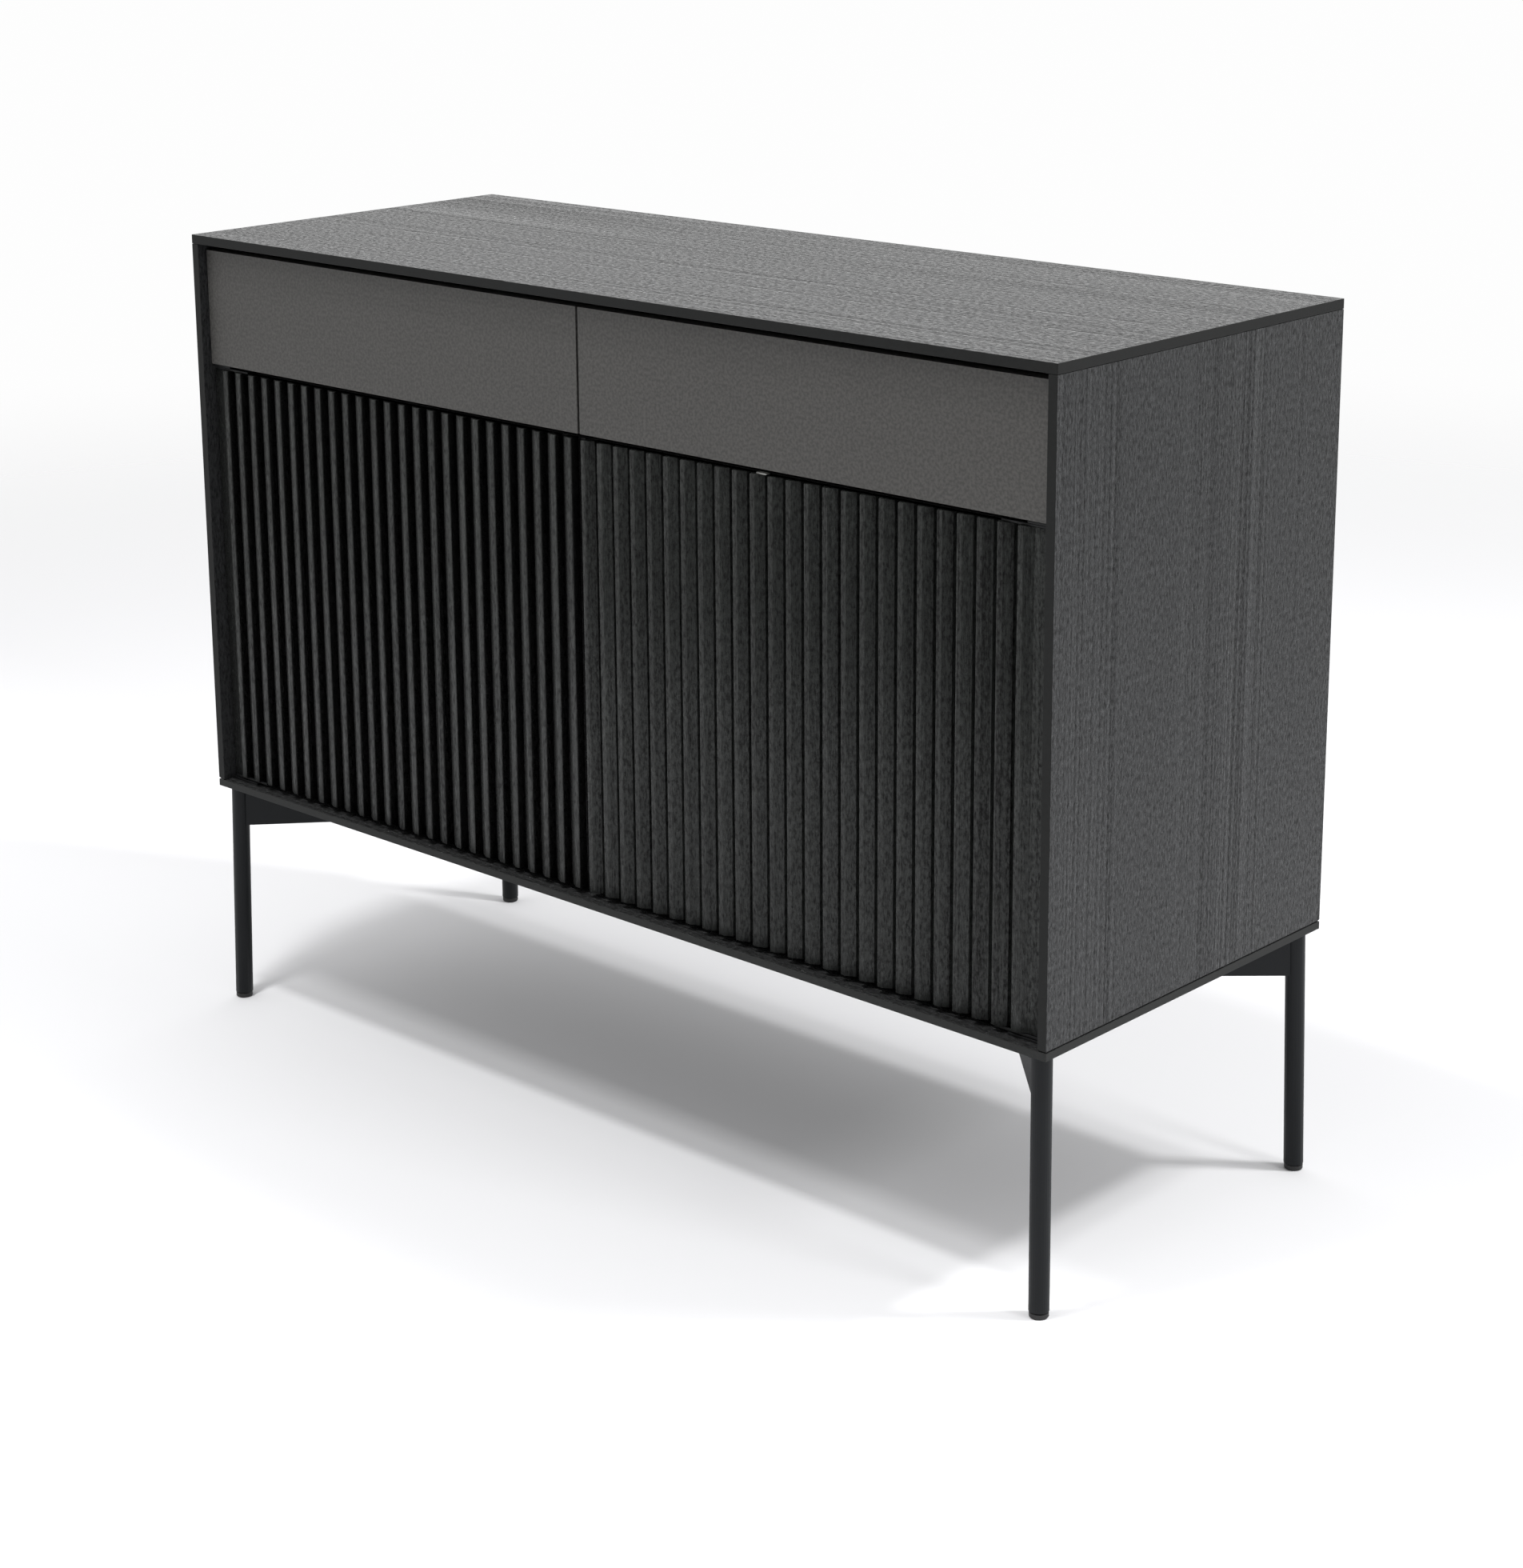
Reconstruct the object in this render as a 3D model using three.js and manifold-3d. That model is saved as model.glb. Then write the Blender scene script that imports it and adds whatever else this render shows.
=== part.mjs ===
// Sideboard with two drawers over two slatted doors, on splayed steel legs.
// Millimetres, +Z up. The origin is on the floor, under the middle of the case:
// +X runs along the width to the viewer's right, -Y faces the front.
import * as THREE from 'three';
import { mergeVertices } from 'three/addons/utils/BufferGeometryUtils.js';
import Module from 'manifold-3d';

const wasm = await Module();
wasm.setup();

// ---------------------------------------------------------------- driving dimensions
const WIDTH = 1200;
const DEPTH = 450;
const HEIGHT = 900;
const LEG_HEIGHT = 260;

const SKIN = 10; // top and side panels
const BASE = 8; // bottom panel
const BACK_BOARD = 5;
const BACK_INSET = 6; // the back board lies this far inside the back edges
const INNER_BOARD = 16; // partition and divider
const DECK = 12;
const DECK_SINK = 4; // the deck's underside lies this far below the doors' top edges
const CARCASS_SETBACK = 28; // deck, partition and divider stand this far behind the fronts' faces
const SHELF = 12;
const SHELF_PLAY = 1; // gap at each end and at the back of a shelf
const TOUCH = 0.3; // gap between pieces that bear on each other
const OVERCUT = 1; // how far a cutting tool, or an overlap to be joined, reaches past a surface
const SHADOW_NOTCH = 1.2; // fine shadow line round the foot of each side panel

const FRONT_RECESS = 10; // the fronts lie this far behind the case's front edges
const SIDE_GAP = 2;
const HALF_SPLIT = 1.5; // half the gap between the two fronts
const TOP_GAP = 7;
const MIDDLE_GAP = 6;
const BOTTOM_GAP = 6;
const DRAWER_FRONT = { height: 128, thickness: 16 };

const SLAT = { count: 25, pitch: 22.9, nose: 6.8, slope: 9, drop: 5, relief: 11, web: 2.7 };
const LEFT_DOOR_LEAD = 10; // plain strip between the left door's inner edge and its first slat
const DOOR_CORE = 8;

const RUNNER = { space: 13, length: 350, height: 45, sheet: 1.2 };
const RUNNER_CASE = { lip: 8.3, start: 0, short: 0 };
const RUNNER_MIDDLE = { near: 2.2, far: 10.8, web: 5.6, drop: 3.7, start: 2, short: 8 };
const RUNNER_DRAWER = { lip: 5.4, drop: 8, start: -4, short: 23 };
const DRAWER_BOX = { board: 12, height: 100, bottom: 6, bottomLift: 6, lift: 8, length: 350 };

const PIVOT = { fromEdge: 12, behindNose: 10, pin: 2.5, hole: 2.9 };
const HINGE_LEAF = 2.2;
const HINGE_EDGE = 1; // space between a hinge leaf and the case or drawer beside it
const DOOR_LEAF = { reach: 46, toOuterEdge: 2, front: 6, back: 9, upperGap: 0.5, lowerGap: 0.8 };
const CASE_LEAF = { upperReach: 16, lowerReach: 30, half: 7, upperBack: 38 };

const LATCH = {
  width: 14, height: 13.5, length: 46, plunger: 4, bore: 4.5, bodyGap: 8, boreEnd: 10, plungerEnd: 15,
};

const LEG = { radius: 10, wall: 1.5, inset: 17, splay: 5, plate: 2.7, aboveGlide: 0.6 };
const GLIDE = { radius: 9.5, height: 5.4, stem: 7.5, stemHeight: 16, chamfer: 1 };
const BRACKET = { height: 44, thickness: 16, length: 130, rise: 2, endHeight: 26 };
const PLATE = { heel: 6, heelHalf: 12, shoulder: 20, half: 24, pastBar: 12 };

const MEMBER_SETBACK = 1; // latches and runners start this far behind the carcass's front edges
const CYLINDER_SIDES = 24;

// ---------------------------------------------------------------- derived levels and planes
const CASE_BOTTOM = LEG_HEIGHT;
const FLOOR_LEVEL = CASE_BOTTOM + BASE; // upper face of the bottom panel
const CEILING = HEIGHT - SKIN; // underside of the top panel
const INNER_HALF = WIDTH / 2 - SKIN;
const FRONT_EDGE = -DEPTH / 2;
const NOSE_PLANE = FRONT_EDGE + FRONT_RECESS;
const BACK_FACE = DEPTH / 2 - BACK_INSET - BACK_BOARD;
const CARCASS_FRONT = NOSE_PLANE + CARCASS_SETBACK;
const CARCASS_BACK = BACK_FACE - TOUCH;

const DRAWER_TOP = CEILING - TOP_GAP;
const DRAWER_BOTTOM = DRAWER_TOP - DRAWER_FRONT.height;
const DOOR_TOP = DRAWER_BOTTOM - MIDDLE_GAP;
const DOOR_BOTTOM = FLOOR_LEVEL + BOTTOM_GAP;
const FRONT_OUTER = INNER_HALF - SIDE_GAP;

const DECK_BOTTOM = DOOR_TOP - DECK_SINK;
const DECK_TOP = DECK_BOTTOM + DECK;
const SHELF_BOTTOM = 500;
const SHELF_SETBACK = 17;

const WEB_BACK = NOSE_PLANE + SLAT.relief + SLAT.web;
const CORE_FRONT = WEB_BACK + TOUCH;
const CORE_BACK = CORE_FRONT + DOOR_CORE;
const PIVOT_X = FRONT_OUTER - PIVOT.fromEdge;
const PIVOT_Y = NOSE_PLANE + PIVOT.behindNose;

const SIDES = [
  { name: 'left', sign: -1 },
  { name: 'right', sign: 1 },
];

// ---------------------------------------------------------------- materials
const finish = (color, roughness, metalness = 0) =>
  new THREE.MeshStandardMaterial({ color, roughness, metalness });

const ASH = finish(0x4b4c4c, 0.55);
const LACQUER = finish(0x565450, 0.5);
const CARCASS = finish(0x2e2f2f, 0.6);
const BACKING = finish(0x262727, 0.7);
const DRAWER_WOOD = finish(0x3a3a39, 0.6);
const LEG_COAT = finish(0x262a2c, 0.4, 0.3);
const BLACK_STEEL = finish(0x202224, 0.35, 0.7);
const ZINC = finish(0x9b9fa2, 0.3, 0.9);
const GLIDE_PLASTIC = finish(0x141414, 0.6);
const LATCH_PLASTIC = finish(0xb9b9b4, 0.5);

// ---------------------------------------------------------------- helpers
const model = new THREE.Group();

function add(name, geometry, material, parent = model) {
  const mesh = new THREE.Mesh(geometry, material);
  mesh.name = name;
  parent.add(mesh);
  return mesh;
}

// A box between two corners, given as [low, high] pairs.
function block([x0, x1], [y0, y1], [z0, z1]) {
  const geometry = new THREE.BoxGeometry(Math.abs(x1 - x0), y1 - y0, z1 - z0);
  return geometry.translate((x0 + x1) / 2, (y0 + y1) / 2, (z0 + z1) / 2);
}

function outline(points) {
  return new THREE.Shape(points.map(([x, y]) => new THREE.Vector2(x, y)));
}

// An outline in the XY plane, raised from z0 to z1.
function raise(points, z0, z1) {
  const geometry = new THREE.ExtrudeGeometry(outline(points), { depth: z1 - z0, bevelEnabled: false });
  return geometry.translate(0, 0, z0);
}

// An outline of [x, z] points, run along Y from y0 to y1.
function run(points, y0, y1) {
  const geometry = new THREE.ExtrudeGeometry(outline(points), { depth: y1 - y0, bevelEnabled: false });
  return geometry.rotateX(Math.PI / 2).translate(0, y1, 0);
}

// An upright cylinder at (x, y) from z0 to z1.
function post(x, y, radius, z0, z1) {
  const geometry = new THREE.CylinderGeometry(radius, radius, z1 - z0, CYLINDER_SIDES);
  return geometry.rotateX(Math.PI / 2).translate(x, y, (z0 + z1) / 2);
}

// A cylinder along Y at (x, z) from y0 to y1.
function rod(x, z, radius, y0, y1) {
  const geometry = new THREE.CylinderGeometry(radius, radius, y1 - y0, CYLINDER_SIDES);
  return geometry.translate(x, (y0 + y1) / 2, z);
}

function toSolid(geometry) {
  const bare = geometry.clone();
  bare.deleteAttribute('normal');
  bare.deleteAttribute('uv');
  const merged = mergeVertices(bare, 1e-4);
  const vertProperties = new Float32Array(merged.attributes.position.array);
  const triVerts = new Uint32Array(merged.index.array);
  return new wasm.Manifold(new wasm.Mesh({ numProp: 3, vertProperties, triVerts }));
}

function toGeometry(solid) {
  const { vertProperties, triVerts } = solid.getMesh();
  const geometry = new THREE.BufferGeometry();
  geometry.setAttribute('position', new THREE.BufferAttribute(new Float32Array(vertProperties), 3));
  geometry.setIndex(new THREE.BufferAttribute(new Uint32Array(triVerts), 1));
  return geometry;
}

const cut = (geometry, ...tools) =>
  toGeometry(tools.reduce((solid, tool) => solid.subtract(toSolid(tool)), toSolid(geometry)));

const join = (geometry, ...others) =>
  toGeometry(others.reduce((solid, other) => solid.add(toSolid(other)), toSolid(geometry)));

// Mirrors a pair of x limits to one side of the case.
const across = (sign, a, b) => (sign > 0 ? [a, b] : [-b, -a]);

// ---------------------------------------------------------------- case
function sidePanel({ name, sign }) {
  const outer = WIDTH / 2;
  const foot = FLOOR_LEVEL + TOUCH;
  const notch = [foot - OVERCUT, foot + SHADOW_NOTCH];
  const fullDepth = [FRONT_EDGE, -FRONT_EDGE];
  const panel = block(across(sign, outer - SKIN, outer), fullDepth, [foot, CEILING - TOUCH]);
  const sideNotch = block(
    across(sign, outer - SHADOW_NOTCH, outer + OVERCUT),
    [FRONT_EDGE - OVERCUT, OVERCUT - FRONT_EDGE],
    notch);
  const frontNotch = block(
    across(sign, outer - SKIN - OVERCUT, outer + OVERCUT),
    [FRONT_EDGE - OVERCUT, FRONT_EDGE + SHADOW_NOTCH],
    notch);
  add(`${name}_side_panel`, cut(panel, sideNotch, frontNotch), ASH);
}

// The deck carries the drawers' floor and takes the upper hinge leaves in slots in its front edge.
function drawerDeck() {
  const board = block(
    [-INNER_HALF + TOUCH, INNER_HALF - TOUCH], [CARCASS_FRONT, CARCASS_BACK], [DECK_BOTTOM, DECK_TOP]);
  const slots = SIDES.map(({ sign }) => {
    const leaf = upperCaseLeafBox(sign);
    return block(
      across(sign, leaf.inner - TOUCH, INNER_HALF + OVERCUT),
      [CARCASS_FRONT - OVERCUT, leaf.y[1] + TOUCH],
      [leaf.z[0] - TOUCH, leaf.z[1] + TOUCH]);
  });
  add('drawer_deck', cut(board, ...slots), CARCASS);
}

function carcass() {
  const fullWidth = [-WIDTH / 2, WIDTH / 2];
  const fullDepth = [FRONT_EDGE, -FRONT_EDGE];
  const middle = [-INNER_BOARD / 2, INNER_BOARD / 2];
  const boardDepth = [CARCASS_FRONT, CARCASS_BACK];
  add('top_panel', block(fullWidth, fullDepth, [CEILING, HEIGHT]), ASH);
  SIDES.forEach(sidePanel);
  add('bottom_panel', block(fullWidth, fullDepth, [CASE_BOTTOM, FLOOR_LEVEL]), ASH);
  add('back_panel', block(
    [-INNER_HALF + TOUCH, INNER_HALF - TOUCH],
    [BACK_FACE, BACK_FACE + BACK_BOARD],
    [FLOOR_LEVEL + TOUCH, CEILING - TOUCH]), BACKING);
  drawerDeck();
  add('cupboard_partition', block(middle, boardDepth, [FLOOR_LEVEL + TOUCH, DECK_BOTTOM - TOUCH]), CARCASS);
  add('drawer_divider', block(middle, boardDepth, [DECK_TOP + TOUCH, CEILING - TOUCH]), CARCASS);
  for (const { name, sign } of SIDES) {
    const width = across(sign, INNER_BOARD / 2 + SHELF_PLAY, INNER_HALF - SHELF_PLAY);
    const depth = [CARCASS_FRONT + SHELF_SETBACK, CARCASS_BACK - SHELF_PLAY];
    add(`${name}_shelf`, block(width, depth, [SHELF_BOTTOM, SHELF_BOTTOM + SHELF]), CARCASS);
  }
}

// ---------------------------------------------------------------- legs
// Each leg has its own group at the foot of its axis, leaning outwards towards its corner.
function legAxis(xSign, ySign) {
  const top = new THREE.Vector3(
    xSign * (WIDTH / 2 - LEG.inset), ySign * (DEPTH / 2 - LEG.inset), CASE_BOTTOM);
  const foot = new THREE.Vector3(top.x + xSign * LEG.splay, top.y + ySign * LEG.splay, 0);
  return { top, foot, direction: top.clone().sub(foot).normalize() };
}

function legTube() {
  const bottom = GLIDE.height + LEG.aboveGlide;
  const top = LEG_HEIGHT - LEG.plate - 2 * TOUCH;
  const bore = LEG.radius - LEG.wall;
  const profile = outline([
    [0, top],
    [LEG.radius, top],
    [LEG.radius, bottom],
    [bore, bottom],
    [bore, top - LEG.wall],
    [0, top - LEG.wall],
  ]);
  const geometry = new THREE.LatheGeometry(profile.getPoints().reverse(), CYLINDER_SIDES);
  return geometry.rotateX(Math.PI / 2);
}

function glide() {
  const profile = outline([
    [0, 0],
    [GLIDE.radius - GLIDE.chamfer, 0],
    [GLIDE.radius, GLIDE.chamfer],
    [GLIDE.radius, GLIDE.height],
    [GLIDE.stem, GLIDE.height],
    [GLIDE.stem, GLIDE.stemHeight],
    [0, GLIDE.stemHeight],
  ]);
  const geometry = new THREE.LatheGeometry(profile.getPoints(), CYLINDER_SIDES);
  return geometry.rotateX(Math.PI / 2);
}

// A deep diagonal bar under a thin fixing plate. Local +X points from the leg towards the middle.
function bracket() {
  const top = LEG_HEIGHT - LEG.plate - TOUCH;
  const low = top - BRACKET.height;
  const half = BRACKET.thickness / 2;
  const bar = run([
    [0, low],
    [BRACKET.length - BRACKET.endHeight, low + BRACKET.rise],
    [BRACKET.length, top - BRACKET.endHeight / 2],
    [BRACKET.length, top + OVERCUT],
    [0, top + OVERCUT],
  ], -half, half);
  const plateEnd = BRACKET.length + PLATE.pastBar;
  const plate = raise([
    [-PLATE.heel, -PLATE.heelHalf],
    [PLATE.shoulder, -PLATE.half],
    [plateEnd, -PLATE.half],
    [plateEnd, PLATE.half],
    [PLATE.shoulder, PLATE.half],
    [-PLATE.heel, PLATE.heelHalf],
  ], top, top + LEG.plate);
  return join(bar, plate);
}

function legs() {
  for (const [row, ySign] of [['front', -1], ['back', 1]]) {
    for (const { name, sign } of SIDES) {
      const { top, foot, direction } = legAxis(sign, ySign);
      const label = `${row}_${name}`;
      const upright = new THREE.Vector3(0, 0, 1);
      const lean = new THREE.Quaternion().setFromUnitVectors(upright, direction);

      const tube = add(`${label}_leg`, legTube(), LEG_COAT);
      tube.quaternion.copy(lean);
      tube.position.copy(foot);

      const inward = Math.atan2(-ySign, -sign);
      const room = new THREE.CylinderGeometry(
        LEG.radius + TOUCH, LEG.radius + TOUCH, LEG_HEIGHT - LEG.plate - 2 * TOUCH, 2 * CYLINDER_SIDES);
      room.rotateX(Math.PI / 2).translate(0, 0, (LEG_HEIGHT - LEG.plate - TOUCH) / 2);
      room.applyQuaternion(lean).translate(foot.x, foot.y, 0);
      const placed = bracket().rotateZ(inward).translate(top.x, top.y, 0);
      add(`${label}_leg_bracket`, cut(placed, room), LEG_COAT);

      add(`${label}_foot_glide`, glide(), GLIDE_PLASTIC).position.set(foot.x, foot.y, 0);
    }
  }
}

// ---------------------------------------------------------------- doors
// The slats share one web. Each has a flat nose, then a slope that falls away from the middle of the case.
function slattedFront({ name, sign }) {
  const lead = sign < 0 ? LEFT_DOOR_LEAD : 0;
  const foot = NOSE_PLANE + SLAT.drop;
  const floor = NOSE_PLANE + SLAT.relief;
  const points = [[HALF_SPLIT, WEB_BACK]];
  if (lead > 0) points.push([HALF_SPLIT, floor]);
  for (let k = 0; k < SLAT.count; k += 1) {
    const x = HALF_SPLIT + lead + k * SLAT.pitch;
    if (x > HALF_SPLIT) points.push([x, floor]);
    points.push([x, NOSE_PLANE]);
    points.push([x + SLAT.nose, NOSE_PLANE]);
    points.push([x + SLAT.nose + SLAT.slope, foot]);
    if (k < SLAT.count - 1) points.push([x + SLAT.nose + SLAT.slope, floor]);
  }
  points.push([FRONT_OUTER, foot]);
  points.push([FRONT_OUTER, WEB_BACK]);
  const mirrored = points.map(([x, y]) => [sign * x, y]);
  add(`${name}_door_slats`, raise(mirrored, DOOR_BOTTOM, DOOR_TOP), ASH);
}

function doors() {
  for (const side of SIDES) {
    const width = across(side.sign, HALF_SPLIT, FRONT_OUTER);
    slattedFront(side);
    add(`${side.name}_door_core`, block(width, [CORE_FRONT, CORE_BACK], [DOOR_BOTTOM, DOOR_TOP]), CARCASS);
  }
}

// ---------------------------------------------------------------- pivot hinges
function upperCaseLeafBox(sign) {
  const inner = PIVOT_X - CASE_LEAF.upperReach;
  const top = DRAWER_BOTTOM - HINGE_EDGE;
  return {
    inner,
    x: across(sign, inner, INNER_HALF - HINGE_EDGE),
    y: [PIVOT_Y - CASE_LEAF.half, CARCASS_FRONT + CASE_LEAF.upperBack],
    z: [top - HINGE_LEAF, top],
  };
}

function hinges() {
  for (const { name, sign } of SIDES) {
    const pivotX = sign * PIVOT_X;
    const doorLeafX = across(sign, PIVOT_X - DOOR_LEAF.reach, FRONT_OUTER - DOOR_LEAF.toOuterEdge);
    const doorLeafY = [PIVOT_Y - DOOR_LEAF.front, PIVOT_Y + DOOR_LEAF.back];
    const upper = upperCaseLeafBox(sign);
    const upperDoorZ = [DOOR_TOP + TOUCH, upper.z[0] - DOOR_LEAF.upperGap];
    const upperPin = post(pivotX, PIVOT_Y, PIVOT.pin, DOOR_TOP + 2 * TOUCH, upper.z[0] + OVERCUT);
    const lowerZ = [FLOOR_LEVEL + TOUCH, FLOOR_LEVEL + TOUCH + HINGE_LEAF];
    const lowerDoorZ = [lowerZ[1] + DOOR_LEAF.lowerGap, DOOR_BOTTOM - TOUCH];
    const lowerPin = post(pivotX, PIVOT_Y, PIVOT.pin, lowerZ[1] - OVERCUT, DOOR_BOTTOM - 2 * TOUCH);
    const lowerX = across(sign, PIVOT_X - CASE_LEAF.lowerReach, INNER_HALF - HINGE_EDGE);
    const lowerY = [PIVOT_Y - CASE_LEAF.half, PIVOT_Y + CASE_LEAF.half];
    const hole = post(pivotX, PIVOT_Y, PIVOT.hole, FLOOR_LEVEL, DRAWER_BOTTOM);

    add(`${name}_upper_case_hinge_leaf`, join(block(upper.x, upper.y, upper.z), upperPin), BLACK_STEEL);
    add(`${name}_upper_door_hinge_leaf`, cut(block(doorLeafX, doorLeafY, upperDoorZ), hole), BLACK_STEEL);
    add(`${name}_lower_case_hinge_leaf`, join(block(lowerX, lowerY, lowerZ), lowerPin), BLACK_STEEL);
    add(`${name}_lower_door_hinge_leaf`, cut(block(doorLeafX, doorLeafY, lowerDoorZ), hole), BLACK_STEEL);
  }
}

// ---------------------------------------------------------------- push latches
function latches() {
  for (const { name, sign } of SIDES) {
    const near = INNER_BOARD / 2 + LATCH.bodyGap;
    const x = sign * (near + LATCH.width / 2);
    const front = CARCASS_FRONT + MEMBER_SETBACK;
    const back = front + LATCH.length;
    const top = DECK_BOTTOM - TOUCH;
    const z = top - LATCH.height / 2;
    const housing = block(
      across(sign, near, near + LATCH.width), [front, back], [top - LATCH.height, top]);
    const bore = rod(x, z, LATCH.bore, front - OVERCUT, back - LATCH.boreEnd);
    const tip = CORE_BACK + TOUCH;
    add(`${name}_push_latch`, cut(housing, bore), LATCH_PLASTIC);
    add(`${name}_latch_plunger`, rod(x, z, LATCH.plunger, tip, back - LATCH.plungerEnd), LATCH_PLASTIC);
  }
}

// ---------------------------------------------------------------- drawers
function drawerBox({ name, sign }) {
  const { board, height, bottom, bottomLift, lift, length } = DRAWER_BOX;
  const inner = INNER_BOARD / 2 + RUNNER.space;
  const outer = INNER_HALF - RUNNER.space;
  const front = NOSE_PLANE + DRAWER_FRONT.thickness + TOUCH;
  const back = front + length;
  const low = DECK_TOP + lift;
  const between = across(sign, inner + board + TOUCH, outer - board - TOUCH);
  const floorTop = low + bottomLift + bottom;

  add(`${name}_drawer_front`, block(
    across(sign, HALF_SPLIT, FRONT_OUTER),
    [NOSE_PLANE, front - TOUCH],
    [DRAWER_BOTTOM, DRAWER_TOP]), LACQUER);
  add(`${name}_drawer_inner_side`,
    block(across(sign, inner, inner + board), [front, back], [low, low + height]), DRAWER_WOOD);
  add(`${name}_drawer_outer_side`,
    block(across(sign, outer - board, outer), [front, back], [low, low + height]), DRAWER_WOOD);
  add(`${name}_drawer_back`,
    block(between, [back - board, back], [floorTop + TOUCH, low + height]), DRAWER_WOOD);
  add(`${name}_drawer_bottom`, block(between, [front, back], [floorTop - bottom, floorTop]), DRAWER_WOOD);
}

// Three nested profiles, seen from the front, with u measured from the wall towards the drawer.
function runnerProfiles() {
  const { space, height, sheet } = RUNNER;
  const half = height / 2;
  const channel = (lip, reach) => [
    [TOUCH, -reach], [lip, -reach], [lip, -reach + sheet], [TOUCH + sheet, -reach + sheet],
    [TOUCH + sheet, reach - sheet], [lip, reach - sheet], [lip, reach], [TOUCH, reach],
  ];
  const { near, far, web, drop } = RUNNER_MIDDLE;
  const flange = half - drop;
  const beam = [
    [near, -flange], [far, -flange], [far, -flange + sheet], [web + sheet, -flange + sheet],
    [web + sheet, flange - sheet], [far, flange - sheet], [far, flange], [near, flange],
    [near, flange - sheet], [web, flange - sheet], [web, -flange + sheet], [near, -flange + sheet],
  ];
  const turned = channel(RUNNER_DRAWER.lip, half - RUNNER_DRAWER.drop).map(([u, z]) => [space - u, z]);
  return { case: channel(RUNNER_CASE.lip, half), middle: beam, drawer: turned };
}

function runners({ name, sign }) {
  const profiles = runnerProfiles();
  const level = DECK_TOP + DRAWER_BOX.lift + DRAWER_BOX.height / 2;
  const front = CARCASS_FRONT + MEMBER_SETBACK;
  const span = ({ start, short }) => [front + start, front + RUNNER.length - short];
  const spans = { case: span(RUNNER_CASE), middle: span(RUNNER_MIDDLE), drawer: span(RUNNER_DRAWER) };
  const walls = [
    { place: 'inner', wall: sign * (INNER_BOARD / 2), towards: sign },
    { place: 'outer', wall: sign * INNER_HALF, towards: -sign },
  ];
  for (const { place, wall, towards } of walls) {
    for (const [member, profile] of Object.entries(profiles)) {
      const points = profile.map(([u, z]) => [wall + towards * u, level + z]);
      add(`${name}_${place}_runner_${member}_member`, run(points, ...spans[member]), ZINC);
    }
  }
}

carcass();
legs();
doors();
hinges();
latches();
SIDES.forEach(drawerBox);
SIDES.forEach(runners);

export default model;
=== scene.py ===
import math

import bmesh
import bpy
from mathutils import Matrix, Vector


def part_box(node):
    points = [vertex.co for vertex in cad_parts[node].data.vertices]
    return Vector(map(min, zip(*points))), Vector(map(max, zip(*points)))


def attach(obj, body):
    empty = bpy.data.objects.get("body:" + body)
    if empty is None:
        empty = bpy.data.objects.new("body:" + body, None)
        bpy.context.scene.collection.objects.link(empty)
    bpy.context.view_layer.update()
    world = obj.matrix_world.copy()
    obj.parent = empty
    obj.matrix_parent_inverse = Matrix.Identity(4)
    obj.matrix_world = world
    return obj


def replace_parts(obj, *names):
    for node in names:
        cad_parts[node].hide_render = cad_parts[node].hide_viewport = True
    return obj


# Looks for a low sideboard: black ash case, two grey drawer fronts over two slatted doors, steel legs.
# Metres, +Z up. The origin is on the floor under the middle of the case, and the front faces -Y.

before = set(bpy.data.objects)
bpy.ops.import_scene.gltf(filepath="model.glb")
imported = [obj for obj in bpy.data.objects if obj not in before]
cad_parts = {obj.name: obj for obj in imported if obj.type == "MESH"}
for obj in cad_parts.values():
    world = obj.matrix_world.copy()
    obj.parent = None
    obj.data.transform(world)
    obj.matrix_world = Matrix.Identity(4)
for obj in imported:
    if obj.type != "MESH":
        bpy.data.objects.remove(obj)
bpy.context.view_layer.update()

MM = 0.001
SIDES = (("left", -1), ("right", 1))
ROWS = (("front", -1), ("back", 1))
CORNERS = [(f"{row}_{side}", x_sign, y_sign) for row, y_sign in ROWS for side, x_sign in SIDES]
NOSE_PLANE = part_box("left_door_slats")[0].y

NOISE_LOW, NOISE_HIGH = 0.3, 0.7  # nearly all of a noise lies between these
SHARP_ANGLE = math.radians(40)
SHADING_ANGLE = math.radians(35)
FLAT_ANGLE = 0.01  # radians between two facets that count as one face
FLAT_COSINE = 0.9  # a face that points this much along an axis counts as facing it
WELD_REACH = 0.01 * MM
BOARD_EASE = 0.5 * MM


# ---------------------------------------------------------------- material building
def set_range(node, low, high, to_low, to_high):
    """Fills in a Map Range node."""
    numbers = {"From Min": low, "From Max": high, "To Min": to_low, "To Max": to_high}
    for socket, number in numbers.items():
        node.inputs[socket].default_value = number


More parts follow.
